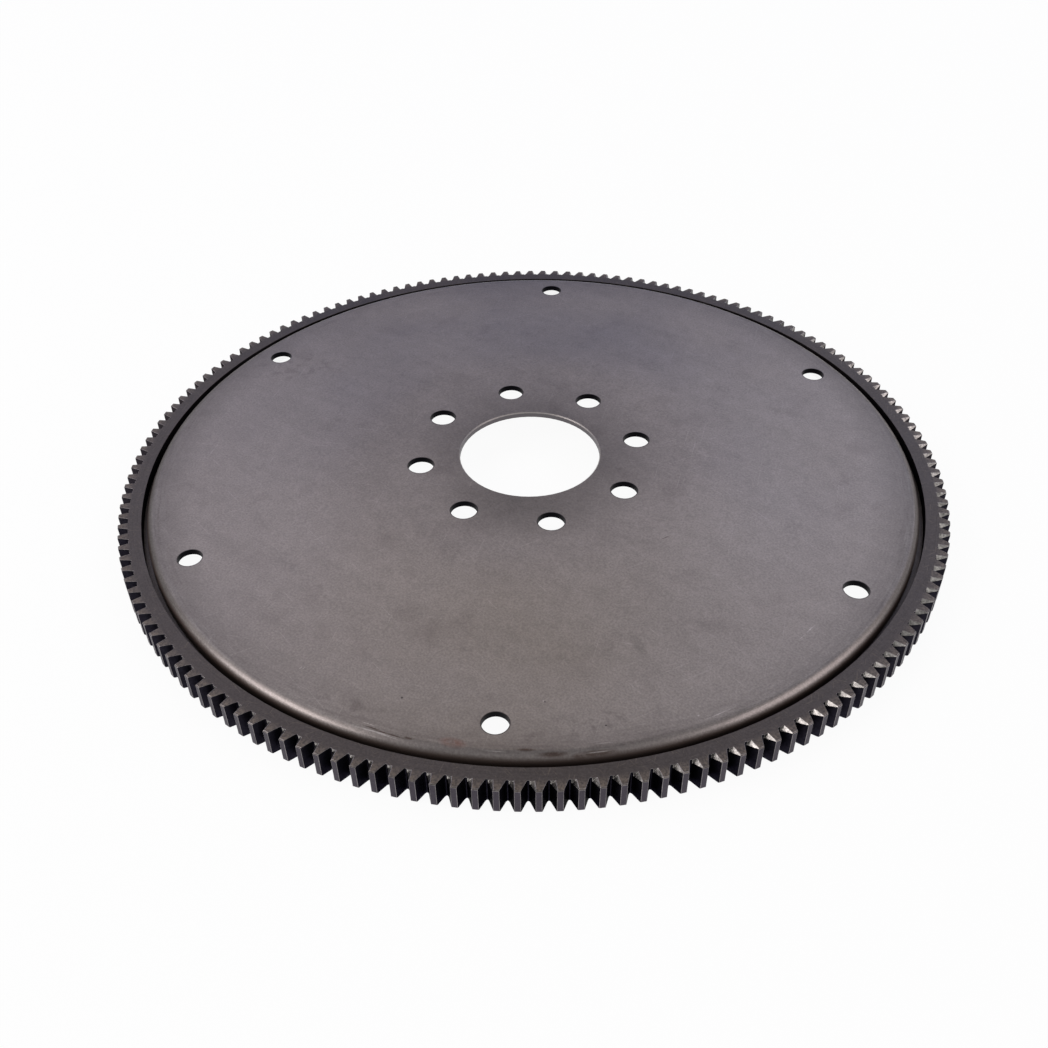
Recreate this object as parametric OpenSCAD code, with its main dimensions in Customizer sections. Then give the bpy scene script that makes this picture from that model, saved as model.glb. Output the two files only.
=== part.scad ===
// Flexplate: a pressed steel drive plate carrying a toothed starter ring gear
// Millimetres, +Z up, origin on the axis at the height of the ring gear's lower face

/* [Plate] */
// Thickness of the pressed sheet
plate_t = 2.8; // [2:0.1:4]
// Height of the hub zone above the converter zone
dish_h = 3.4; // [2:0.1:4]
// Outside radius of the bend at the lip
bend_r = 4.8; // [4.4:0.1:5.4]
// Flat land from the crankshaft bolt circle outwards
hub_land = 22.6; // [14:0.1:30]
// Flat land from the converter bolt circle inwards
rim_inner_land = 15.7; // [12:0.1:20]
// Land from the converter bolt circle out to the lip
rim_land = 16.9; // [15:0.1:20]

/* [Holes] */
// Diameter of the centre hole
pilot_d = 70.6; // [60:0.1:76]
// Width of the bevel round the centre hole
pilot_bevel = 0.5; // [0.2:0.1:0.8]
// Number of crankshaft bolt holes
crank_n = 8; // [4:1:10]
// Circle diameter of the crankshaft bolt holes
crank_pcd = 110.7; // [104:0.1:120]
// Diameter of a crankshaft bolt hole
crank_d = 12.9; // [9:0.1:14]
// Number of converter bolt holes
conv_n = 6; // [3:1:8]
// Circle diameter of the converter bolt holes
conv_pcd = 347.4; // [320:0.1:370]
// Diameter of a converter bolt hole
conv_d = 11.3; // [8:0.1:13]

/* [Ring gear] */
// Number of teeth
teeth_n = 159; // [140:1:168]
// Height of the ring
ring_w = 13; // [11:0.1:15]
// Depth of the ring's upper face below the hub face
ring_drop = 5.7; // [5:0.1:7]
// Depth of a tooth from tip to root
tooth_h = 5.2; // [4.4:0.1:5.8]
// Radial wall between the relief bore and the tooth root
ring_wall = 6; // [5:0.1:8]
// Tooth width at the tip
tip_w = 2.4; // [2:0.1:2.8]
// Gap between two flanks where they would reach the root
root_gap = 0.9; // [0.7:0.1:1.5]
// Width of the flat floor of a tooth gap
floor_w = 0.5; // [0.3:0.1:0.6]
// Height of the rounding between a flank and the gap's floor
round_h = 0.6; // [0.4:0.1:1]
// Width of the turned bevel along the tooth tips
tip_bevel = 0.4; // [0.2:0.1:0.8]
// Width of the lead-in bevel at the tip of one flank
lead_tip_w = 0.25; // [0.15:0.05:0.5]
// Width of the lead-in bevel at the root of one flank
lead_w = 2; // [1.2:0.1:2.4]
// Height of the lead-in bevel at the root of one flank
lead_h = 2.2; // [1.2:0.1:3]
// Distance from the root at which the lead-in bevel begins
lead_start = 0.2; // [0.1:0.1:0.6]
// Turn of the first tooth from +X in degrees
tooth_turn = -0.25; // [-1:0.01:1]

/* [Seat and welds] */
// Radial gap between the lip and the relief bore of the ring
relief_gap = 2.4; // [1.6:0.1:3]
// Depth of the relief bore below the ring's upper face
relief_h = 5.6; // [4:0.1:7]
// Radial clearance between the lip and its seat in the ring
seat_gap = 0.05; // [0.03:0.01:0.1]
// Height of the lip's lower edge above the ring's lower face
lip_lift = 2.2; // [1.8:0.1:3]
// Number of weld stitches under the lip
weld_n = 12; // [6:1:16]
// Sweep of one weld stitch in degrees
weld_sweep = 9; // [6:1:12]
// Height of a weld stitch above the ring's lower face
weld_lift = 0.4; // [0.2:0.1:0.8]

/* [Hidden] */
top_z = ring_w + ring_drop;
rim_z = top_z - dish_h;
hub_flat_r = crank_pcd / 2 + hub_land;
rim_flat_r = conv_pcd / 2 - rim_inner_land;
lip_r = conv_pcd / 2 + rim_land;
face_z = ring_w;
seat_r = lip_r + seat_gap;
relief_r = lip_r + relief_gap;
root_r = relief_r + ring_wall;
tip_r = root_r + tooth_h;
round_r = root_r + round_h;
pitch_angle = 360 / teeth_n;
base_w = 2 * root_r * sin(pitch_angle / 2) - root_gap;
inner_bend_r = bend_r - plate_t;
wall_r = lip_r - plate_t;
bend_c = lip_r - bend_r;
bend_z = rim_z - bend_r;
weld_leg = lip_lift - weld_lift;
weld_crown_r = seat_r - weld_leg * 0.45;
weld_crown_z = lip_lift - weld_leg * 0.72;
dish_steps = 16;
bend_steps = 12;
hole_steps = 48;
over = 1;
plate_color = [0.43, 0.41, 0.40];
ring_color = [0.27, 0.27, 0.28];
weld_color = [0.34, 0.33, 0.32];
$fn = 144;

// Height lost across the dish at a share of its width
function dish_z(s) = dish_h * (1 - cos(180 * s)) / 2;

// Points of one skin of the plate from the hub to the rim, lowered by a depth
function skin(depth) = [
    for (i = [0:dish_steps])
        [hub_flat_r + (rim_flat_r - hub_flat_r) * i / dish_steps,
         top_z - dish_z(i / dish_steps) - depth]
];

// Points of a quarter bend of a radius, from flat to upright
function bend(r) = [
    for (i = [0:bend_steps])
        [bend_c + r * sin(90 * i / bend_steps), bend_z + r * cos(90 * i / bend_steps)]
];

// Points of a list in the opposite order
function back(list) = [for (i = [len(list) - 1:-1:0]) list[i]];

// Half section of the pressed plate
module plate_section() {
    hole_r = pilot_d / 2;
    polygon(concat(
        [[hole_r, top_z - pilot_bevel], [hole_r + pilot_bevel, top_z]],
        skin(0),
        bend(bend_r),
        [[lip_r, lip_lift], [wall_r, lip_lift]],
        back(bend(inner_bend_r)),
        back(skin(plate_t)),
        [[hole_r, top_z - plate_t]]
    ));
}

// Ring of round holes through the plate
module hole_ring(n, pcd, d) {
    for (i = [0:n - 1])
        rotate(360 * i / n)
            translate([pcd / 2, 0, top_z - dish_h - plate_t - over])
                cylinder(d = d, h = dish_h + plate_t + 2 * over, $fn = hole_steps);
}

module drive_plate() {
    color(plate_color)
        difference() {
            rotate_extrude()
                plate_section();
            hole_ring(crank_n, crank_pcd, crank_d);
            hole_ring(conv_n, conv_pcd, conv_d);
        }
}

// Point on a circle at an angle
function polar(r, a) = [r * cos(a), r * sin(a)];

// Half angle of a width across a circle
function half_angle(w, r) = asin(w / 2 / r);

// Half outline of a tooth from its root to its tip, as radius and angle from the tooth's middle
half_tooth = [
    [root_r, pitch_angle / 2 - half_angle(floor_w, root_r)],
    [round_r, half_angle(base_w + (tip_w - base_w) * round_h / tooth_h, round_r)],
    [tip_r, half_angle(tip_w, tip_r)]
];

// Outline of the toothed ring
function tooth_points() = [
    for (i = [0:teeth_n - 1])
        for (side = [-1, 1])
            for (p = side < 0 ? half_tooth : back(half_tooth))
                polar(p[0], tooth_turn + pitch_angle * i + side * p[1])
];

// Half section of the turned ring before its teeth are cut, with a seat and a wider relief inside
module ring_section() {
    polygon([
        [seat_r, 0],
        [tip_r - tip_bevel, 0],
        [tip_r + over, tip_bevel + over],
        [tip_r + over, ring_w - tip_bevel - over],
        [tip_r - tip_bevel, ring_w],
        [relief_r, ring_w],
        [relief_r, ring_w - relief_h],
        [seat_r, ring_w - relief_h]
    ]);
}

// Wedge that cuts the lead-in bevel on the clockwise flank of the tooth on +X
module lead_wedge() {
    top_root = lead_w - base_w / 2;
    top_tip = lead_tip_w - tip_w / 2;
    slope = lead_h / lead_w;
    lap = lead_tip_w;
    translate([root_r, top_root, face_z])
        rotate(atan2(top_tip - top_root, tooth_h))
            rotate([90, 0, -90])
                translate([0, 0, -tooth_h - over])
                    linear_extrude(height = tooth_h + over - lead_start)
                        polygon([
                            [-lap, lap * slope],
                            [lead_w + lap, -lead_h - lap * slope],
                            [lead_w + lap, lap * slope]
                        ]);
}

module ring_gear() {
    color(ring_color)
        difference() {
            intersection() {
                rotate_extrude()
                    ring_section();
                translate([0, 0, -over])
                    linear_extrude(height = ring_w + 2 * over)
                        polygon(tooth_points());
            }
            for (i = [0:teeth_n - 1])
                rotate(tooth_turn + pitch_angle * i)
                    lead_wedge();
        }
}

// Section of one weld stitch in the corner under the lip
module weld_section() {
    polygon([
        [seat_r, lip_lift],
        [seat_r - weld_leg, lip_lift],
        [weld_crown_r, weld_crown_z],
        [seat_r, lip_lift - weld_leg]
    ]);
}

module weld_stitches() {
    color(weld_color)
        for (i = [0:weld_n - 1])
            rotate(360 * i / weld_n - weld_sweep / 2)
                rotate_extrude(angle = weld_sweep)
                    weld_section();
}

drive_plate();
ring_gear();
weld_stitches();
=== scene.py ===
"""Flexplate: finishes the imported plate, ring gear and welds, and sets a plain studio round them."""

import math
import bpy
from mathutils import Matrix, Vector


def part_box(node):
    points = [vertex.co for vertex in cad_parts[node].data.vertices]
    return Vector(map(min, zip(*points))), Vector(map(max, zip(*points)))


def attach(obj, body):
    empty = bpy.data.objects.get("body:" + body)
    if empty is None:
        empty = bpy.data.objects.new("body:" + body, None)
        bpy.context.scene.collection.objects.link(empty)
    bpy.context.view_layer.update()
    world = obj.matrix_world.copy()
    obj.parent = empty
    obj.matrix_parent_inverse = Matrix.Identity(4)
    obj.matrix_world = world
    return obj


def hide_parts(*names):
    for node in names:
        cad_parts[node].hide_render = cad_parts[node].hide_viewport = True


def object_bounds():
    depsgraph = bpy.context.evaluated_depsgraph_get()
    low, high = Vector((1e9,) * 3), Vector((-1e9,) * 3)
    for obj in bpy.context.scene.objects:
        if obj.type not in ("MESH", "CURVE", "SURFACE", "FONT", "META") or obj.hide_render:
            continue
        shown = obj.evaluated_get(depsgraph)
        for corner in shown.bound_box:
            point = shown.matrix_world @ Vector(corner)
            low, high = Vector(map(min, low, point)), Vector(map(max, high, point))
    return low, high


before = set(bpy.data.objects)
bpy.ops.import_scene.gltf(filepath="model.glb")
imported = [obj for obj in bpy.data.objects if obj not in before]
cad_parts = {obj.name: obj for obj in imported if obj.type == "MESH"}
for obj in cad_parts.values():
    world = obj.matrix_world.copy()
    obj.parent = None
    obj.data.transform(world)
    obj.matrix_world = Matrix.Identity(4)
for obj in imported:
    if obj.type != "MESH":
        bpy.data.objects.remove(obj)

from types import SimpleNamespace

import bmesh
import bpy
from bpy.props import FloatProperty, FloatVectorProperty, PointerProperty
from mathutils import Matrix, Vector

bl_info = {
    "name": "Flexplate",
    "version": (1, 0, 0),
    "blender": (4, 5, 0),
    "location": "View3D > Sidebar > Flexplate",
    "description": "Finishes a pressed drive plate with its ring gear and lights it for a picture",
    "category": "Object",
}

MM = 0.001

# Heights and radii of the part, from the frame and two depths
CAD_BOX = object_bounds()
HUB_FACE_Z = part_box("drive_plate")[1].z
RING_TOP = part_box("ring_gear")[1]
RING_FACE_Z = RING_TOP.z
RING_R = RING_TOP.x
DISH_DEPTH = 3.4 * MM
RIM_Z = HUB_FACE_Z - DISH_DEPTH
TOOTH_DEPTH = 5.2 * MM
TOOTH_ROOT_R = RING_R - TOOTH_DEPTH

# Number of holes, circle radius and hole radius of the two bolt circles
BOLT_CIRCLES = ((8.0, 55.35 * MM, 6.45 * MM), (6.0, 173.7 * MM, 5.65 * MM))

# Directions on the part that lie to the left and far away in the picture
CAMERA_TURN = math.radians(36.48)
LEFTWARDS = (-math.cos(CAMERA_TURN), -math.sin(CAMERA_TURN), 0.0)
FARWARDS = (-math.sin(CAMERA_TURN), math.cos(CAMERA_TURN), 0.0)


def color_setting(name, description, default):
    """A colour that a user may change."""
    return FloatVectorProperty(
        name=name,
        description=description,
        subtype="COLOR",
        size=3,
        min=0.0,
        max=1.0,
        default=default,
    )


class FinishSettings(bpy.types.PropertyGroup):
    """Colours and wear of the steel, some of them painted light and shade."""

    plate_color: color_setting("Plate steel", "Colour of the pressed plate", (0.257, 0.231, 0.222))
    # This colour makes real smudges and streaks, and also painted shade along the front edge and round the
    # holes.
    smudge_and_shade_color: color_setting("Smudges", "Colour of the plate's dark smudges", (0.14, 0.118, 0.118))
    stain_color: color_setting("Rust stain", "Colour of the small stain by the lip", (0.21, 0.085, 0.065))
    # This colour is painted shade low on the lip, where it bends down to the ring gear.
    lip_shade_color: color_setting("Grime", "Colour of the grime low on the lip", (0.12, 0.088, 0.077))
    # The burnished colour is partly rubbed steel and partly a painted highlight on the lip's crest.
    burnish_and_highlight_color: color_setting("Burnished steel", "Colour of the lip's rubbed crest", (0.3, 0.262, 0.25))
    bright_color: color_setting("Bright steel", "Colour of the cut lead-in bevels", (0.36, 0.34, 0.325))
    # The worn edges' colour is partly wear and partly a painted highlight along the teeth's edges.
    edge_wear_and_highlight_color: color_setting("Worn edges", "Colour of the rubbed edges of the teeth", (0.26, 0.24, 0.245))
    brown_color: color_setting("Brown marks", "Colour of the brown smears by the lip", (0.085, 0.058, 0.05))
    bore_color: color_setting("Pilot bore", "Colour of the middle hole's wall", (0.13, 0.118, 0.126))
    # The far side's flank colour is painted light on the flanks there.
    far_flank_light_color: color_setting("Dry flanks", "Colour of the far side's flanks", (0.075, 0.066, 0.07))
    scratch_color: color_setting("Scratches", "Colour of the pale scratches", (0.5, 0.46, 0.45))
    ring_color: color_setting("Ring steel", "Colour of the ring gear's faces", (0.068, 0.058, 0.058))
    tip_color: color_setting("Tooth tips", "Colour of the ends of the teeth", (0.05, 0.04, 0.056))
    worn_color: color_setting("Worn tips", "Colour of the rubbed face near the tips", (0.17, 0.14, 0.115))
    # The flank colour is painted shade, in the gaps between the teeth and, darker still, on the bolt holes'
    # walls.
    flank_shade_color: color_setting("Tooth flanks", "Colour of the oiled flanks and gaps", (0.02, 0.0185, 0.026))
    weld_color: color_setting("Weld metal", "Colour of the weld stitches", (0.12, 0.112, 0.108))
    plate_roughness: FloatProperty(
        name="Plate roughness",
        description="Roughness of the plate's matte face",
        subtype="FACTOR",
        min=0.0,
        max=1.0,
        default=0.44,
    )
    edge_radius: FloatProperty(
        name="Edge rounding",
        description="Rounding of the ring gear's machined edges",
        unit="LENGTH",
        min=0.0,
        max=0.001,
        precision=5,
        default=0.12 * MM,
    )


class StageSettings(bpy.types.PropertyGroup):
    """Camera, floor and light."""

    camera_azimuth: FloatProperty(
        name="Camera azimuth",
        description="Turn of the camera round the axis",
        subtype="ANGLE",
        default=CAMERA_TURN,
    )
    camera_pitch: FloatProperty(
        name="Camera pitch",
        description="Angle at which the camera looks down",
        subtype="ANGLE",
        default=math.radians(40.59),
    )
    camera_roll: FloatProperty(
        name="Camera roll",
        description="Tilt of the camera about its own view",
        subtype="ANGLE",
        default=math.radians(-1.67),
    )
    camera_place: FloatVectorProperty(
        name="Camera place",
        description="Camera position from the middle of the hub face, before its turn",
        subtype="TRANSLATION",
        unit="LENGTH",
        size=3,
        default=(-0.01356, -0.46267, 0.34274),
    )
    camera_lens: FloatProperty(
        name="Lens",
        description="Focal length on a sensor 36 mm wide, in millimetres",
        min=10.0,
        max=200.0,
        default=39.03,
    )
    floor_size: FloatProperty(
        name="Floor size",
        description="Width of the floor",
        unit="LENGTH",
        default=60.0,
    )
    floor_white: FloatProperty(
        name="Floor white",
        description="Share of plain white in the floor as the camera sees it",
        subtype="FACTOR",
        min=0.0,
        max=1.0,
        default=0.94,
    )
    world_level: FloatProperty(
        name="World level",
        description="Strength of the even light from all round",
        min=0.0,
        max=2.0,
        default=0.245,
    )


# Nodes

VALUE_OPERATIONS = ("DISTANCE", "DOT_PRODUCT", "LENGTH")
NOISE_RANGE = (0.3, 0.7)


def new_material(name):
    """A new node material, returned with its tree and its shader."""
    material = bpy.data.materials.new(name)
    material.use_nodes = True
    tree = material.node_tree
    return material, tree, tree.nodes["Principled BSDF"]


def feed(tree, sockets, values):
    """Gives each named socket its value, or a link where the value is another node's socket."""
    for key, value in values.items():
        if isinstance(value, bpy.types.NodeSocket):
            tree.links.new(value, sockets[key])
        else:
            sockets[key].default_value = value


def add(tree, kind, inputs=None, **settings):
    """A new node with its settings and its inputs."""
    node = tree.nodes.new("ShaderNode" + kind)
    for key, value in settings.items():
        setattr(node, key, value)
    feed(tree, node.inputs, inputs or {})
    return node


def noise(tree, vector, scale, detail, roughness):
    """Noise on a vector, as a value from about 0 to 1."""
    inputs = {"Vector": vector, "Scale": scale, "Detail": detail, "Roughness": roughness}
    return add(tree, "TexNoise", inputs).outputs["Fac"]


def ramp(tree, value, low, high, low_out=0.0, high_out=1.0):
    """A value taken from one range to another and held there."""
    inputs = {"Value": value, "From Min": low, "From Max": high, "To Min": low_out, "To Max": high_out}
    return add(tree, "MapRange", inputs).outputs["Result"]


def from_noise(tree, value, low_out=0.0, high_out=1.0):
    """A noise value taken from its usual range to another."""
    return ramp(tree, value, *NOISE_RANGE, low_out, high_out)


def math_node(tree, operation, first, second=0.0):
    """One or two values put through one operation."""
    return add(tree, "Math", {0: first, 1: second}, operation=operation).outputs[0]


def vector_node(tree, operation, first, second=(0.0, 0.0, 0.0)):
    """One or two vectors put through one operation."""
    node = add(tree, "VectorMath", {0: first, 1: second}, operation=operation)
    return node.outputs["Value" if operation in VALUE_OPERATIONS else "Vector"]


def combined(tree, operation, values):
    """Any number of values put through one operation, one after another."""
    total = values[0]
    for value in values[1:]:
        total = math_node(tree, operation, total, value)
    return total


def product(tree, *masks):
    """Masks multiplied together."""
    return combined(tree, "MULTIPLY", masks)


def largest(tree, *masks):
    """The strongest of several masks."""
    return combined(tree, "MAXIMUM", masks)


def window(tree, value, low, high, soft):
    """A mask that is one between two values, with soft ends."""
    rise = ramp(tree, value, low - soft, low + soft)
    fall = ramp(tree, value, high - soft, high + soft, 1.0, 0.0)
    return product(tree, rise, fall)


def flattened(tree, vector):
    """A vector without its height."""
    return vector_node(tree, "MULTIPLY", vector, (1.0, 1.0, 0.0))


def turned_by(tree, vector, angle):
    """A vector turned about the axis."""
    inputs = {"Vector": vector, "Angle": angle}
    return add(tree, "VectorRotate", inputs, rotation_type="Z_AXIS").outputs[0]


def reach(tree, place, direction):
    """How far a place lies in a direction."""
    return vector_node(tree, "DOT_PRODUCT", place, direction)


def mix_value(tree, factor, first, second):
    """Two values mixed by a factor."""
    return add(tree, "Mix", {0: factor, 2: first, 3: second}).outputs[0]


def mix_color(tree, factor, first, second, blend="MIX"):
    """Two colours mixed by a factor, where a colour is three values or a socket."""
    inputs = {0: factor}
    for index, color in ((6, first), (7, second)):
        inputs[index] = color if isinstance(color, bpy.types.NodeSocket) else (*color, 1.0)
    return add(tree, "Mix", inputs, data_type="RGBA", blend_type=blend).outputs[2]


def painted(tree, color, *layers):
    """A colour with layers over it, each a mask, its strength and the colour that it shows."""
    for mask, strength, over in layers:
        color = mix_color(tree, product(tree, mask, strength), color, over)
    return color


def tinted(color, level):
    """A colour made lighter or darker by a fixed level."""
    return tuple(channel * level for channel in color)


def toned(tree, color, level):
    """A colour made lighter or darker by a socket's value."""
    level_color = add(tree, "CombineColor", {0: level, 1: level, 2: level}).outputs[0]
    return mix_color(tree, 1.0, color, level_color, "MULTIPLY")


def speckled(tree, color, grain, amount):
    """A colour made lighter and darker by a fine grain."""
    return toned(tree, color, from_noise(tree, grain, 1.0 - amount, 1.0 + amount))


def clouded(tree, clouds, color, low, high):
    """A colour that goes from a darker to a lighter level with the clouds."""
    return mix_color(tree, from_noise(tree, clouds), tinted(color, low), tinted(color, high))


def bumpy(tree, grain, strength, depth=0.2 * MM):
    """A surface normal that follows the grain."""
    return add(tree, "Bump", {"Strength": strength, "Distance": depth, "Height": grain}).outputs[0]


# Shared effects

SCRATCH_TURNS = (17.0, 71.0, 118.0, 158.0)
SCRATCH_SHIFT = (7.3, 3.1, 0.0)
SCRATCHES_ACROSS = 1500.0
SCRATCHES_IN_HEIGHT = 300.0
SMUDGE_FINENESS = 5.0
GRAIN_SCALE = 1100.0
STREAK_SCALE = (60.0, 60.0, 60.0)


def new_group(name, vectors, values, outputs):
    """An empty shader node group with vector inputs, float inputs with defaults, and float outputs."""
    tree = bpy.data.node_groups.new(name, "ShaderNodeTree")
    for label in vectors:
        tree.interface.new_socket(name=label, in_out="INPUT", socket_type="NodeSocketVector")
    for label, default in values.items():
        socket = tree.interface.new_socket(name=label, in_out="INPUT", socket_type="NodeSocketFloat")
        socket.default_value = default
    for label in outputs:
        tree.interface.new_socket(name=label, in_out="OUTPUT", socket_type="NodeSocketFloat")
    return tree, tree.nodes.new("NodeGroupInput").outputs, tree.nodes.new("NodeGroupOutput").inputs


def scratch_group():
    """Fine straight scratches in a few directions, broken into short lengths."""
    settings = {"Density": 0.5, "Length": 0.04}
    tree, given, put = new_group("Fine scratches", ["Vector"], settings, ["Mask"])
    lengthwise = math_node(tree, "DIVIDE", 1.0, given["Length"])
    stretches = {"X": lengthwise, "Y": SCRATCHES_ACROSS, "Z": SCRATCHES_IN_HEIGHT}
    stretch = add(tree, "CombineXYZ", stretches).outputs[0]
    start = ramp(tree, given["Density"], 0.0, 1.0, 0.82, 0.62)
    full = math_node(tree, "ADD", start, 0.06)
    lines = []
    for index, turn in enumerate(SCRATCH_TURNS):
        turned = turned_by(tree, given["Vector"], math.radians(turn))
        stretched = vector_node(tree, "MULTIPLY", turned, stretch)
        shift = tuple(step * index for step in SCRATCH_SHIFT)
        shifted = vector_node(tree, "ADD", stretched, shift)
        line = noise(tree, shifted, 1.0, detail=1.0, roughness=0.4)
        lines.append(ramp(tree, line, start, full))
    feed(tree, put, {"Mask": largest(tree, *lines)})
    return tree


def grain_group():
    """Soft clouds, sparse smudges and fine grain of rolled steel."""
    outputs = ["Clouds", "Smudges", "Grain"]
    tree, given, put = new_group("Rolled steel", ["Vector"], {"Cloud scale": 12.0}, outputs)
    vector = given["Vector"]
    cloud_scale = given["Cloud scale"]
    smudge_scale = product(tree, cloud_scale, SMUDGE_FINENESS)
    smudges = noise(tree, vector, smudge_scale, detail=5.0, roughness=0.62)
    results = {
        "Clouds": noise(tree, vector, cloud_scale, detail=4.0, roughness=0.55),
        "Smudges": ramp(tree, smudges, 0.56, 0.74),
        "Grain": noise(tree, vector, GRAIN_SCALE, detail=3.0, roughness=0.6),
    }
    feed(tree, put, results)
    return tree


def axis_group():
    """Distance from the axis, height, and how far a face looks up or outwards."""
    outputs = ["Radius", "Height", "Up", "Out"]
    tree, given, put = new_group("Round the axis", ["Vector", "Normal"], {}, outputs)
    flat = flattened(tree, given["Vector"])
    away = vector_node(tree, "NORMALIZE", flat)
    results = {
        "Radius": vector_node(tree, "LENGTH", flat),
        "Height": add(tree, "SeparateXYZ", {0: given["Vector"]}).outputs["Z"],
        "Up": add(tree, "SeparateXYZ", {0: given["Normal"]}).outputs["Z"],
        "Out": reach(tree, given["Normal"], away),
    }
    feed(tree, put, results)
    return tree


def turned_group():
    """Fine streaks that run round the axis, as from turning or rubbing."""
    tree, given, put = new_group("Turned lines", ["Vector"], {"Fineness": 3000.0}, ["Lines"])
    flat = flattened(tree, given["Vector"])
    across = product(tree, vector_node(tree, "LENGTH", flat), given["Fineness"])
    sides = add(tree, "SeparateXYZ", {0: vector_node(tree, "MULTIPLY", flat, STREAK_SCALE)}).outputs
    streak_place = add(tree, "CombineXYZ", {"X": across, "Y": sides["X"], "Z": sides["Y"]}).outputs[0]
    feed(tree, put, {"Lines": noise(tree, streak_place, 1.0, detail=2.0, roughness=0.55)})
    return tree


def bolt_group():
    """Distance from the middle of the nearest of a ring of holes."""
    settings = {"Holes": 6.0, "Circle radius": 0.1}
    tree, given, put = new_group("Bolt circle", ["Vector"], settings, ["Distance"])
    parts = add(tree, "SeparateXYZ", {0: given["Vector"]}).outputs
    angle = math_node(tree, "ARCTAN2", parts["Y"], parts["X"])
    step = math_node(tree, "DIVIDE", 2.0 * math.pi, given["Holes"])
    count = math_node(tree, "ROUND", math_node(tree, "DIVIDE", angle, step))
    turned = turned_by(tree, given["Vector"], product(tree, count, step, -1.0))
    middle = add(tree, "CombineXYZ", {"X": given["Circle radius"]}).outputs[0]
    feed(tree, put, {"Distance": vector_node(tree, "DISTANCE", flattened(tree, turned), middle)})
    return tree


GROUP_MAKERS = {
    "Bolt circle": bolt_group,
    "Fine scratches": scratch_group,
    "Rolled steel": grain_group,
    "Round the axis": axis_group,
    "Turned lines": turned_group,
}


def placed_group(tree, name, vector, **values):
    """One of the shared groups, made on first use and placed in a material with its own values."""
    node = tree.nodes.new("ShaderNodeGroup")
    node.node_tree = bpy.data.node_groups.get(name) or GROUP_MAKERS[name]()
    inputs = {key.replace("_", " ").capitalize(): value for key, value in values.items()}
    feed(tree, node.inputs, {"Vector": vector, **inputs})
    return node.outputs


# Objects


def dress(node, material):
    """Puts a material on a node of the frame in place of its own."""
    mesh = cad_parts[node].data
    mesh.materials.clear()
    mesh.materials.append(material)


def new_object(name, shape, materials):
    """An object with its materials, made from a shape that is then freed."""
    mesh = bpy.data.meshes.new(name)
    shape.to_mesh(mesh)
    shape.free()
    for material in materials:
        mesh.materials.append(material)
    made = bpy.data.objects.new(name, mesh)
    bpy.context.collection.objects.link(made)
    return made


# Marks on the plate: place, length and width in millimetres, and turn in degrees

RUST_SPOTS = ((79.0, -167.5, 13.0, 5.5, 22.0), (79.8, -167.7, 7.0, 3.0, 18.0))
BROWN_SPOTS = (
    (104.2, -154.5, 9.0, 1.8, 34.0),
    (113.7, -150.0, 15.0, 2.4, 37.0),
    (122.3, -144.6, 9.0, 2.6, 40.0),
    (127.1, -139.8, 21.0, 2.8, 42.0),
    (89.0, -19.3, 7.5, 0.5, 62.8),
)
SCUFFS = (
    (50.4, -180.3, 20.0, 0.7, 16.0),
    (54.0, -179.6, 17.0, 0.6, 13.0),
    (46.0, -178.9, 9.0, 0.5, 13.0),
    (127.6, -134.5, 9.0, 0.35, 40.0),
    (127.3, -139.1, 11.0, 0.4, 42.4),
    (94.6, -161.7, 10.0, 0.4, 30.0),
    (157.0, -96.6, 17.0, 0.7, 61.7),
)
DARK_SCUFFS = (
    (56.0, -178.2, 18.0, 0.9, 15.0),
    (48.5, -179.6, 8.0, 0.8, 13.0),
    (63.5, -175.5, 6.0, 1.2, 20.0),
)
PALE_SCRATCHES = (
    (166.2, -39.9, 5.4, 0.5, 78.9),
    (167.1, -33.7, 6.6, 0.6, 79.8),
    (3.1, -172.1, 2.8, 0.35, 86.5),
    (4.3, -171.4, 2.2, 0.3, 86.5),
    (96.1, -130.4, 0.9, 0.9, 0.0),
    (150.5, -102.3, 1.1, 1.1, 0.0),
)
MOTTLED = (
    (-158.7, -0.2, 70.0, 40.0, 43.7),
    (30.0, -176.0, 60.0, 14.0, 8.0),
    (104.1, -147.1, 18.0, 11.0, 30.0),
    (120.0, -128.0, 70.0, 22.0, 42.0),
)
SOFT_SHADES = ((20.0, -42.0, 80.0, 44.0, 26.5), (112.1, -83.1, 20.0, 6.0, -31.5))
DARK_DOTS = (
    (48.2, -161.0, 1.3, 1.3, 0.0),
    (123.2, -127.0, 1.1, 1.1, 0.0),
    (96.8, -130.4, 0.9, 0.9, 0.0),
)


def spot(tree, place, x, y, length, width, turn):
    """A soft oval mask on the plate."""
    inputs = {
        "Vector": place,
        "Location": (x * MM, y * MM, 0.0),
        "Rotation": (0.0, 0.0, math.radians(turn)),
        "Scale": (length * MM / 2, width * MM / 2, 1.0),
    }
    oval = add(tree, "Mapping", inputs, vector_type="TEXTURE").outputs[0]
    return ramp(tree, vector_node(tree, "LENGTH", oval), 0.35, 1.0, 1.0, 0.0)


def all_spots(tree, place, spots):
    """Several oval masks as one."""
    return largest(tree, *[spot(tree, place, *values) for values in spots])


# Radii between which each zone of the plate lies, comes in or fades out
BORE_EDGE = (36.0 * MM, 36.4 * MM)
HUB_SHADE = (38.0 * MM, 70.0 * MM)
HOLE_ZONE = (40.0 * MM, 184.0 * MM)
INNER_RIM_SHADE = (152.0 * MM, 168.0 * MM)
OUTER_RIM_SHADE = (168.0 * MM, 185.0 * MM)
SHEET_EDGE = (176.0 * MM, 187.0 * MM)
LIP_OUTSIDE = (186.0 * MM, 187.0 * MM)
LIP_INSIDE = (186.5 * MM, 187.0 * MM)
LIP_CREST = (187.3 * MM, 189.6 * MM)

# Distances to a side or along the view between which a change comes in
HUB_LEFT = (10.0 * MM, 55.0 * MM)
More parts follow.
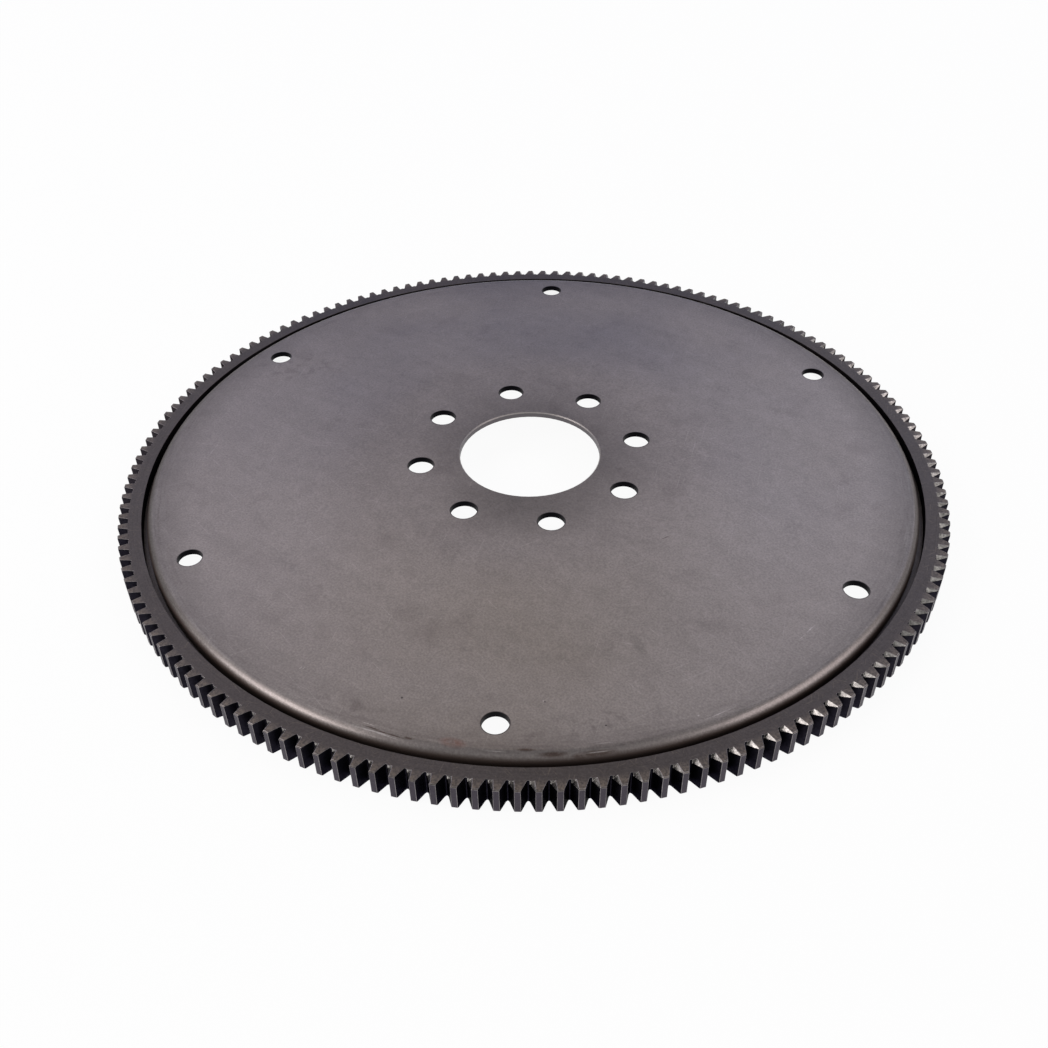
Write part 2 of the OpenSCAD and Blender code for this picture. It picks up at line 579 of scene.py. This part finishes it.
# The painted shade low on the lip rises over this distance to the left.
LIP_SHADE_LEFT = (60.0 * MM, 165.0 * MM)
RIM_ASIDE = (90.0 * MM, 175.0 * MM)
CREST_LEFT = (100.0 * MM, 165.0 * MM)
PLATE_FRONT = (-172.0 * MM, -184.0 * MM)

# Widths, heights, levels and noise scales of single effects
CREST_SOFT = 0.6 * MM
HOLE_ZONE_SOFT = 1.0 * MM
HOLE_RIM = (0.2 * MM, 0.5 * MM)
# The next three set the painted shade low on the lip.
LIP_SHADE_HEIGHTS = (RIM_Z - 1.2 * MM, RIM_Z - 3.0 * MM)
LIP_SHADE_RAGGED = 0.6 * MM
LIP_SHADE_LIFT = 0.4 * MM
HUB_STRETCH = 9.0 * MM
BEVEL_SLOPES = (0.3, 0.97)
BEVEL_SLOPE_SOFT = 0.03
RIM_LEVEL = 0.93
MOTTLE_SCALE = 130.0
SPOT_SCALE = 210.0
CLOUDLET_SCALE = 350.0
WIPE_SCALE = (14.0, 75.0, 20.0)
LIP_INSIDE_COLOR = (0.95, 0.95, 0.95)


def plate_places(tree):
    """Where a point of the plate lies, which way its face looks, and the noises there."""
    coords = add(tree, "TexCoord").outputs
    place = coords["Object"]
    axis = placed_group(tree, "Round the axis", place, normal=coords["Normal"])
    steel = placed_group(tree, "Rolled steel", place, cloud_scale=9.0)
    return SimpleNamespace(
        place=place,
        radius=axis["Radius"],
        height=axis["Height"],
        up=axis["Up"],
        out=axis["Out"],
        upright=ramp(tree, math_node(tree, "ABSOLUTE", axis["Up"]), 0.3, 0.5, 1.0, 0.0),
        left=reach(tree, place, LEFTWARDS),
        front=ramp(tree, reach(tree, place, FARWARDS), *PLATE_FRONT),
        clouds=steel["Clouds"],
        smudges=steel["Smudges"],
        grain=steel["Grain"],
        lines=placed_group(tree, "Fine scratches", place, density=0.45, length=0.03)["Mask"],
        streaks=placed_group(tree, "Turned lines", place, fineness=900.0)["Lines"],
    )


def crest_highlight_mask(tree, at):
    """The lip's rubbed crest with its painted highlight, fainter on the left and in front."""
    ring = window(tree, at.radius, *LIP_CREST, CREST_SOFT)
    level = ramp(tree, at.up, 0.4, 0.6)
    by_left = ramp(tree, at.left, *CREST_LEFT, 1.0, 0.2)
    by_front = ramp(tree, at.front, 0.0, 1.0, 1.0, 0.15)
    return product(tree, ring, level, by_left, by_front)


def lip_shade_mask(tree, at):
    """Painted shade low on the outside of the lip, with a ragged edge that is higher on the left and in
    front.
    """
    ragged = math_node(tree, "ADD", product(tree, at.grain, LIP_SHADE_RAGGED), at.height)
    by_left = ramp(tree, at.left, *LIP_SHADE_LEFT, 0.0, LIP_SHADE_LIFT)
    ragged = math_node(tree, "SUBTRACT", ragged, by_left)
    ragged = math_node(tree, "SUBTRACT", ragged, product(tree, at.front, LIP_SHADE_LIFT))
    low = ramp(tree, ragged, *LIP_SHADE_HEIGHTS)
    outside = ramp(tree, at.radius, *LIP_OUTSIDE)
    return product(tree, low, outside, ramp(tree, at.out, 0.0, 0.2))


def plate_masks(tree, at):
    """The masks that the plate's colour and its shine share."""
    hole_zone = window(tree, at.radius, *HOLE_ZONE, HOLE_ZONE_SOFT)
    inwards = ramp(tree, at.out, -0.5, -0.8)
    return SimpleNamespace(
        crest=crest_highlight_mask(tree, at),
        lip_shade=lip_shade_mask(tree, at),
        hole_wall_shade=product(tree, at.upright, hole_zone),
        lip_inside=product(tree, inwards, ramp(tree, at.radius, *LIP_INSIDE), at.upright),
    )


def sheet_color(tree, at, finish):
    """Rolled sheet with clouds, a wiped and mottled tone, smudges and fine scratches."""
    color = clouded(tree, at.clouds, finish.plate_color, 0.92, 1.1)
    mottle = noise(tree, at.place, MOTTLE_SCALE, detail=4.0, roughness=0.6)
    wipe = {"Vector": at.place, "Rotation": (0.0, 0.0, -CAMERA_TURN), "Scale": WIPE_SCALE}
    wiped_place = add(tree, "Mapping", wipe).outputs[0]
    wiped = noise(tree, wiped_place, 1.0, detail=4.0, roughness=0.6)
    level = product(tree, from_noise(tree, mottle, 0.94, 1.06), from_noise(tree, wiped, 0.95, 1.05))
    spots = noise(tree, at.place, SPOT_SCALE, detail=2.0, roughness=0.5)
    spotted = product(tree, all_spots(tree, at.place, MOTTLED), ramp(tree, spots, 0.52, 0.66))
    return painted(
        tree,
        toned(tree, color, level),
        (at.smudges, 0.35, finish.smudge_and_shade_color),
        (spotted, 0.4, finish.smudge_and_shade_color),
        (at.lines, 0.2, finish.scratch_color),
    )


def with_rim_wear_and_painted_light(tree, at, masks, finish, color):
    """A colour with streaks round the sheet's edge, painted shade in front and the lip's rubbed crest with
    its painted highlight.
    """
    edge = ramp(tree, at.radius, *SHEET_EDGE)
    rubbed = product(tree, edge, ramp(tree, at.streaks, 0.5, 0.7))
    polished = product(tree, edge, ramp(tree, at.streaks, 0.46, 0.3))
    return painted(
        tree,
        color,
        (rubbed, 0.4, finish.smudge_and_shade_color),
        (polished, 0.18, finish.scratch_color),
        # Painted shade along the sheet's edge in front
        (product(tree, at.front, edge), 0.35, finish.smudge_and_shade_color),
        # Painted highlight on the lip's rubbed crest
        (masks.crest, 0.75, finish.burnish_and_highlight_color),
    )


def with_marks(tree, at, finish, color):
    """A colour with the rust stain, the brown smears, the dark dots and the pale scratches."""
    cloudlets = noise(tree, at.place, CLOUDLET_SCALE, detail=4.0, roughness=0.65)
    smear = ramp(tree, cloudlets, 0.24, 0.5)
    broken = ramp(tree, cloudlets, 0.36, 0.528, 0.3, 1.0)
    streaky = ramp(tree, at.streaks, 0.35, 0.55, 0.75, 1.0)
    rust = all_spots(tree, at.place, RUST_SPOTS)
    brown = all_spots(tree, at.place, BROWN_SPOTS + DARK_SCUFFS)
    dots = all_spots(tree, at.place, DARK_DOTS)
    pale = all_spots(tree, at.place, SCUFFS + PALE_SCRATCHES)
    return painted(
        tree,
        color,
        (product(tree, rust, smear), 0.5, finish.stain_color),
        (product(tree, brown, smear, streaky), 0.95, finish.brown_color),
        (dots, 1.0, tinted(finish.smudge_and_shade_color, 0.35)),
        (product(tree, pale, broken), 0.8, finish.scratch_color),
    )


def plate_tone_and_rim_shade(tree, at, masks):
    """Darker zones round the hub and in a few soft patches, and painted shade towards the lip that is
    deeper at the sides, but not on its crest.
    """
    hub_reach = math_node(tree, "ADD", at.radius, ramp(tree, at.left, *HUB_LEFT, 0.0, HUB_STRETCH))
    hub_tone = ramp(tree, hub_reach, *HUB_SHADE, 0.74, 1.0)
    patches = product(tree, all_spots(tree, at.place, SOFT_SHADES), 0.16)
    hub_tone = math_node(tree, "SUBTRACT", hub_tone, patches)
    # Painted shade towards the lip, deeper at the sides and lifted on the crest
    rim_low = ramp(tree, math_node(tree, "ABSOLUTE", at.left), *RIM_ASIDE, 0.81, 0.64)
    outer = ramp(tree, at.radius, *OUTER_RIM_SHADE, RIM_LEVEL, rim_low)
    inner = ramp(tree, at.radius, *INNER_RIM_SHADE, 1.0, RIM_LEVEL)
    painted_rim_shade = mix_value(tree, masks.crest, math_node(tree, "MINIMUM", outer, inner), 1.0)
    return product(tree, hub_tone, painted_rim_shade)


def with_edges(tree, at, masks, finish, color):
    """A colour with painted shade low on the lip, on the holes' dark rims and walls, with the bore and the
    inside of the lip.
    """
    # Painted shade low on the lip
    layers = [(masks.lip_shade, 1.0, finish.lip_shade_color)]
    # A dark ring round each bolt hole is painted shade on its rolled edge.
    for holes, circle, radius in BOLT_CIRCLES:
        away = placed_group(tree, "Bolt circle", at.place, holes=holes, circle_radius=circle)["Distance"]
        hole_rim_shade = ramp(tree, away, radius + HOLE_RIM[0], radius + HOLE_RIM[1], 1.0, 0.0)
        layers.append((hole_rim_shade, 0.97, tinted(finish.smudge_and_shade_color, 0.2)))
    by_bore = ramp(tree, at.radius, *BORE_EDGE, 1.0, 0.0)
    bore_bevel = product(tree, window(tree, at.up, *BEVEL_SLOPES, BEVEL_SLOPE_SOFT), by_bore)
    layers += [
        # Near-black painted shade on the bolt holes' walls
        (masks.hole_wall_shade, 1.0, tinted(finish.flank_shade_color, 0.2)),
        (product(tree, at.upright, by_bore), 1.0, finish.bore_color),
        (bore_bevel, 0.55, finish.scratch_color),
        (masks.lip_inside, 1.0, LIP_INSIDE_COLOR),
    ]
    return painted(tree, color, *layers)


def plate_material(finish):
    """Matte rolled steel with wear, marks, a rubbed lip with painted highlight and shade, and dark holes of
    painted shade.
    """
    material, tree, shader = new_material("plate_steel")
    at = plate_places(tree)
    masks = plate_masks(tree, at)
    color = sheet_color(tree, at, finish)
    color = with_rim_wear_and_painted_light(tree, at, masks, finish, color)
    color = with_marks(tree, at, finish, color)
    color = speckled(tree, color, at.grain, 0.18)
    color = toned(tree, color, plate_tone_and_rim_shade(tree, at, masks))
    color = with_edges(tree, at, masks, finish, color)
    dull = largest(tree, masks.lip_shade, masks.hole_wall_shade)
    plain = finish.plate_roughness
    rough = from_noise(tree, at.clouds, plain - 0.05, plain + 0.06)
    for mask, level in ((masks.crest, 0.32), (dull, 0.6), (masks.lip_inside, 0.1)):
        rough = mix_value(tree, mask, rough, level)
    surface = {
        "Base Color": color,
        "Roughness": rough,
        "Metallic": ramp(tree, largest(tree, dull, masks.lip_inside), 0.0, 1.0, 0.75, 1.0),
        "Normal": bumpy(tree, at.grain, 0.15),
    }
    feed(tree, shader.inputs, surface)
    return material


class FLEXPLATE_OT_drive_plate(bpy.types.Operator):
    """Finishes the pressed drive plate"""

    bl_idname = "flexplate.drive_plate"
    bl_label = "Drive plate"

    def execute(self, context):
        dress("drive_plate", plate_material(context.scene.flexplate_finish))
        return {"FINISHED"}


# Ring gear

RING_FINISHES = ("faces", "flanks", "lead_in", "edges")
TIP_WEAR = (198.5 * MM, 202.5 * MM)
# Distances along the view over which the flanks' painted light on the far side comes in
FAR_FLANK_LIGHT = (-50.0 * MM, 90.0 * MM)

# Limits by which the ring's faces are told apart: shares of up and of outwards, then distances
FLAT_UP = 0.4
BEVEL_UP = 0.9
BEVEL_OUT = 0.45
LOOKS_OUT = 0.7
ROOT_BAND = 1.0 * MM
ROOT_BEVEL_DEPTH = 1.8 * MM
TIP_BAND = 0.5 * MM

# Limits for merging, flattening and rounding the ring's edges, and for the rubbed ones with a painted
# highlight
MERGE_DISTANCE = 0.002 * MM
FLAT_ANGLE = math.radians(0.5)
SHARP_ANGLE = math.radians(20.0)
RUBBED_DEPTH = 0.3 * MM
RUBBED_ROOT_BAND = 0.5 * MM
RUBBED_TIP_BAND = 0.6 * MM


def ring_material(finish):
    """Dark machined steel of the ring gear's faces and tooth tips."""
    material, tree, shader = new_material("ring_steel")
    coords = add(tree, "TexCoord").outputs
    place = coords["Object"]
    axis = placed_group(tree, "Round the axis", place, normal=coords["Normal"])
    steel = placed_group(tree, "Rolled steel", place, cloud_scale=30.0)
    lines = placed_group(tree, "Fine scratches", place, density=0.7, length=0.008)["Mask"]
    turned = placed_group(tree, "Turned lines", place, fineness=2600.0)["Lines"]
    grain = steel["Grain"]
    worn = product(tree, ramp(tree, axis["Radius"], *TIP_WEAR), ramp(tree, grain, 0.3, 0.6))
    color = painted(
        tree,
        clouded(tree, steel["Clouds"], finish.ring_color, 0.88, 1.15),
        (ramp(tree, turned, 0.5, 0.75), 0.5, tinted(finish.ring_color, 0.55)),
        (worn, 0.7, finish.worn_color),
        (lines, 0.3, finish.worn_color),
        (ramp(tree, axis["Up"], 0.3, 0.2), 1.0, finish.tip_color),
    )
    surface = {
        "Base Color": speckled(tree, color, grain, 0.2),
        "Roughness": from_noise(tree, steel["Clouds"], 0.42, 0.55),
        "Metallic": 0.65,
        "Normal": bumpy(tree, grain, 0.18),
    }
    feed(tree, shader.inputs, surface)
    return material


def simple_metal(name, color, rough, spread, cloud_scale, edge_tint=1.0, far_color=None, bump=0.2):
    """Metal of one colour, or of another on the far side that paints light there, with uneven tone and
    roughness.
    """
    material, tree, shader = new_material(name)
    place = add(tree, "TexCoord").outputs["Object"]
    steel = placed_group(tree, "Rolled steel", place, cloud_scale=cloud_scale)
    tone = clouded(tree, steel["Clouds"], color, 1.0 - spread, 1.0 + spread)
    if far_color is not None:
        far_side = ramp(tree, reach(tree, place, FARWARDS), *FAR_FLANK_LIGHT)
        tone = mix_color(tree, far_side, tone, far_color)
    surface = {
        "Base Color": speckled(tree, tone, steel["Grain"], spread),
        "Roughness": from_noise(tree, steel["Clouds"], rough, rough + 0.12),
        "Metallic": 1.0,
        "Specular Tint": (edge_tint, edge_tint, edge_tint, 1.0),
        "Normal": bumpy(tree, steel["Grain"], bump),
    }
    feed(tree, shader.inputs, surface)
    return material


def ring_materials(finish):
    """The ring gear's materials, in the order of its finishes."""
    faces = ring_material(finish)
    # The flanks' near-black is painted shade in the gaps, with painted light on the far side.
    flanks = simple_metal(
        "shaded_flanks",
        finish.flank_shade_color,
        rough=0.4,
        spread=0.3,
        cloud_scale=60.0,
        edge_tint=0.25,
        far_color=finish.far_flank_light_color,
    )
    bevels = simple_metal(
        "cut_bevels", finish.bright_color, rough=0.26, spread=0.5, cloud_scale=300.0, bump=0.5
    )
    edges = simple_metal("worn_edges_and_highlights", finish.edge_wear_and_highlight_color, rough=0.32, spread=0.3, cloud_scale=120.0)
    return faces, flanks, bevels, edges


def ring_finish_of(face):
    """The finish of one flat of the ring gear, from where it lies and which way it looks."""
    middle = face.calc_center_median()
    away = Vector((middle.x, middle.y, 0.0)).normalized()
    radius = middle.dot(away)
    up = face.normal.z
    out = face.normal.dot(away)
    depth = RING_FACE_Z - middle.z
    flat = abs(up) > FLAT_UP
    outwards = out > LOOKS_OUT
    if FLAT_UP < up < BEVEL_UP and abs(out) < BEVEL_OUT and radius > TOOTH_ROOT_R:
        return "lead_in"
    if not flat and outwards and radius < TOOTH_ROOT_R + ROOT_BAND and depth < ROOT_BEVEL_DEPTH:
        return "lead_in"
    if flat or (outwards and radius > RING_R - TIP_BAND):
        return "faces"
    return "flanks"


def is_rubbed_and_highlit(face):
    """Whether a rounded edge lies at the top of the teeth or at their tips, where it is worn and has a
    painted highlight.
    """
    middle = face.calc_center_median()
    radius = math.hypot(middle.x, middle.y)
    at_top = middle.z > RING_FACE_Z - RUBBED_DEPTH and radius > TOOTH_ROOT_R - RUBBED_ROOT_BAND
    return at_top or radius > RING_R - RUBBED_TIP_BAND


def rounded_ring(finish):
    """The ring gear with its machined edges rounded and each kind of face in its own finish."""
    shape = bmesh.new()
    shape.from_mesh(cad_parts["ring_gear"].data)
    bmesh.ops.remove_doubles(shape, verts=shape.verts, dist=MERGE_DISTANCE)
    bmesh.ops.dissolve_limit(
        shape,
        angle_limit=FLAT_ANGLE,
        use_dissolve_boundaries=False,
        verts=shape.verts,
        edges=shape.edges,
    )
    for face in shape.faces:
        face.material_index = RING_FINISHES.index(ring_finish_of(face))
        face.smooth = False
    rounded = bmesh.ops.bevel(
        shape,
        geom=[edge for edge in shape.edges if edge.calc_face_angle(0.0) > SHARP_ANGLE],
        offset=finish.edge_radius,
        offset_type="OFFSET",
        segments=2,
        profile=0.5,
        affect="EDGES",
        clamp_overlap=True,
        material=-1,
    )
    for face in rounded["faces"]:
        if is_rubbed_and_highlit(face):
            face.material_index = RING_FINISHES.index("edges")
    bmesh.ops.recalc_face_normals(shape, faces=shape.faces)
    return new_object("toothed_ring", shape, ring_materials(finish))


class FLEXPLATE_OT_ring_gear(bpy.types.Operator):
    """Makes the ring gear with rounded edges"""

    bl_idname = "flexplate.ring_gear"
    bl_label = "Ring gear"

    def execute(self, context):
        ring = rounded_ring(context.scene.flexplate_finish)
        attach(ring, "root")
        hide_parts("ring_gear")
        return {"FINISHED"}


# Weld stitches

WELD_DEPTH = 0.3 * MM


def weld_material(finish):
    """Dull rippled weld metal."""
    material, tree, shader = new_material("weld_metal")
    place = add(tree, "TexCoord").outputs["Object"]
    steel = placed_group(tree, "Rolled steel", place, cloud_scale=80.0)
    dark = tinted(finish.weld_color, 0.7)
    surface = {
        "Base Color": mix_color(tree, steel["Clouds"], dark, finish.weld_color),
        "Roughness": 0.6,
        "Metallic": 0.6,
        "Normal": bumpy(tree, steel["Grain"], 0.3, WELD_DEPTH),
    }
    feed(tree, shader.inputs, surface)
    return material


class FLEXPLATE_OT_weld_stitches(bpy.types.Operator):
    """Finishes the weld stitches under the lip"""

    bl_idname = "flexplate.weld_stitches"
    bl_label = "Weld stitches"

    def execute(self, context):
        dress("weld_stitches", weld_material(context.scene.flexplate_finish))
        return {"FINISHED"}


# Stage

FLOOR_GAP = 0.2 * MM
FLOOR_GREY = (0.3, 0.3, 0.3)
FLOOR_PALE = (0.95, 0.95, 0.95)
WHITE = (1.0, 1.0, 1.0)
SKY_COLOR = (0.93, 0.98, 1.0)
SENSOR_WIDTH = 36.0
CAMERA_SHIFT = (0.0179, 0.0092)
LAMP_DISTANCE = 1.7

# Lamps: name, degrees round the axis from the camera's side, degrees of height, width, watts, colour
LAMPS = (
    ("left", -71.0, 29.0, 1.0, 10.5, (1.0, 0.96, 0.955)),
    ("upper left", -101.5, 57.0, 1.2, 3.2, (1.0, 0.96, 0.95)),
    ("right", 67.0, 28.0, 1.3, 7.6, (1.0, 0.93, 0.94)),
    ("back left", -140.0, 40.0, 1.1, 4.4, (0.85, 0.83, 1.0)),
    ("back right", 140.0, 40.0, 1.1, 5.3, (0.79, 0.81, 1.0)),
    ("above", 180.0, 55.0, 1.0, 1.6, (1.0, 0.77, 0.31)),
    ("back", 180.0, 25.0, 1.2, 1.2, (0.1, 0.2, 1.0)),
    ("front", 10.0, 42.0, 1.4, 3.0, (1.0, 0.98, 0.97)),
)


def floor_material(stage):
    """Floor that the camera and reflections see as nearly white, with the part's shadow on it."""
    material, tree, shader = new_material("floor_white")
    tree.nodes.remove(shader)
    path = add(tree, "LightPath").outputs
    seen = largest(tree, path["Is Camera Ray"], path["Is Glossy Ray"], path["Is Transmission Ray"])
    tone = mix_color(tree, seen, FLOOR_GREY, FLOOR_PALE)
    matte = add(tree, "BsdfDiffuse", {"Color": tone}).outputs[0]
    white = add(tree, "Emission", {"Color": (*WHITE, 1.0), "Strength": 1.0}).outputs[0]
    share = product(tree, seen, stage.floor_white)
    mixed = add(tree, "MixShader", {0: share, 1: matte, 2: white}).outputs[0]
    feed(tree, tree.nodes["Material Output"].inputs, {"Surface": mixed})
    return material


def make_floor(stage):
    """A wide flat floor under the part."""
    shape = bmesh.new()
    bmesh.ops.create_grid(shape, x_segments=1, y_segments=1, size=stage.floor_size / 2)
    bmesh.ops.translate(shape, verts=shape.verts, vec=(0.0, 0.0, CAD_BOX[0][2] - FLOOR_GAP))
    floor = new_object("floor", shape, [floor_material(stage)])


def make_world(stage):
    """Even light from all round, plain white where the camera sees it."""
    world = bpy.data.worlds.new("studio")
    bpy.context.scene.world = world
    world.use_nodes = True
    tree = world.node_tree
    tree.nodes.clear()
    output = add(tree, "OutputWorld")
    seen = add(tree, "LightPath").outputs["Is Camera Ray"]
    level = ramp(tree, seen, 0.0, 1.0, stage.world_level, 1.0)
    tone = mix_color(tree, seen, SKY_COLOR, WHITE)
    back = add(tree, "Background", {"Color": tone, "Strength": level}).outputs[0]
    feed(tree, output.inputs, {"Surface": back})


def lamp_place(turn, azimuth, elevation):
    """A lamp's place, from the camera's turn and the lamp's own angles."""
    angle = math.radians(azimuth) + turn - math.pi / 2
    height = math.radians(elevation)
    out = LAMP_DISTANCE * math.cos(height)
    return (out * math.cos(angle), out * math.sin(angle), LAMP_DISTANCE * math.sin(height))


def make_lamp(name, place, size, watts, color):
    """A large square lamp that faces the part."""
    lamp = bpy.data.lights.new(name, "AREA")
    lamp.shape = "SQUARE"
    lamp.size = size
    lamp.energy = watts
    lamp.color = color
    holder = bpy.data.objects.new(name, lamp)
    bpy.context.collection.objects.link(holder)
    holder.location = place
    aim = -Vector(place)
    holder.rotation_euler = aim.to_track_quat("-Z", "Y").to_euler()


def make_camera(stage):
    """The camera at the picture's place, with the picture's small framing shift."""
    data = bpy.data.cameras.new("camera")
    data.sensor_width = SENSOR_WIDTH
    data.lens = stage.camera_lens
    data.shift_x, data.shift_y = CAMERA_SHIFT
    camera = bpy.data.objects.new("camera", data)
    bpy.context.collection.objects.link(camera)
    pitch = stage.camera_pitch
    right = Vector((1.0, 0.0, 0.0))
    up = Vector((0.0, math.sin(pitch), math.cos(pitch)))
    forward = Vector((0.0, math.cos(pitch), -math.sin(pitch)))
    roll = stage.camera_roll
    side = right * math.cos(roll) + up * math.sin(roll)
    top = up * math.cos(roll) - right * math.sin(roll)
    axes = Matrix((side, top, -forward)).transposed().to_4x4()
    place = Matrix.Translation(Vector(stage.camera_place))
    turn = Matrix.Rotation(stage.camera_azimuth, 4, "Z")
    lift = Matrix.Translation((0.0, 0.0, HUB_FACE_Z))
    camera.matrix_world = lift @ turn @ place @ axes
    bpy.context.scene.camera = camera


class FLEXPLATE_OT_stage(bpy.types.Operator):
    """Sets the floor, the lamps and the camera"""

    bl_idname = "flexplate.stage"
    bl_label = "Stage"

    def execute(self, context):
        stage = context.scene.flexplate_stage
        context.scene.view_settings.view_transform = "Standard"
        make_floor(stage)
        make_world(stage)
        for name, azimuth, elevation, size, watts, color in LAMPS:
            place = lamp_place(stage.camera_azimuth, azimuth, elevation)
            make_lamp(name, place, size, watts, color)
        make_camera(stage)
        return {"FINISHED"}


# Add-on


class FLEXPLATE_PT_panel(bpy.types.Panel):
    """Lists the pieces and their settings"""

    bl_idname = "FLEXPLATE_PT_panel"
    bl_label = "Flexplate"
    bl_space_type = "VIEW_3D"
    bl_region_type = "UI"
    bl_category = "Flexplate"

    def draw(self, context):
        for settings in (context.scene.flexplate_finish, context.scene.flexplate_stage):
            for name in settings.__annotations__:
                self.layout.prop(settings, name)
        for operator in OPERATORS:
            self.layout.operator(operator.bl_idname)


OPERATORS = (
    FLEXPLATE_OT_drive_plate,
    FLEXPLATE_OT_ring_gear,
    FLEXPLATE_OT_weld_stitches,
    FLEXPLATE_OT_stage,
)
CLASSES = (FinishSettings, StageSettings, *OPERATORS, FLEXPLATE_PT_panel)


def register():
    for cls in CLASSES:
        bpy.utils.register_class(cls)
    bpy.types.Scene.flexplate_finish = PointerProperty(type=FinishSettings)
    bpy.types.Scene.flexplate_stage = PointerProperty(type=StageSettings)


def unregister():
    del bpy.types.Scene.flexplate_stage
    del bpy.types.Scene.flexplate_finish
    for cls in reversed(CLASSES):
        bpy.utils.unregister_class(cls)


def main():
    register()
    bpy.ops.flexplate.drive_plate()
    bpy.ops.flexplate.ring_gear()
    bpy.ops.flexplate.weld_stitches()
    bpy.ops.flexplate.stage()


if __name__ == "__main__":
    main()
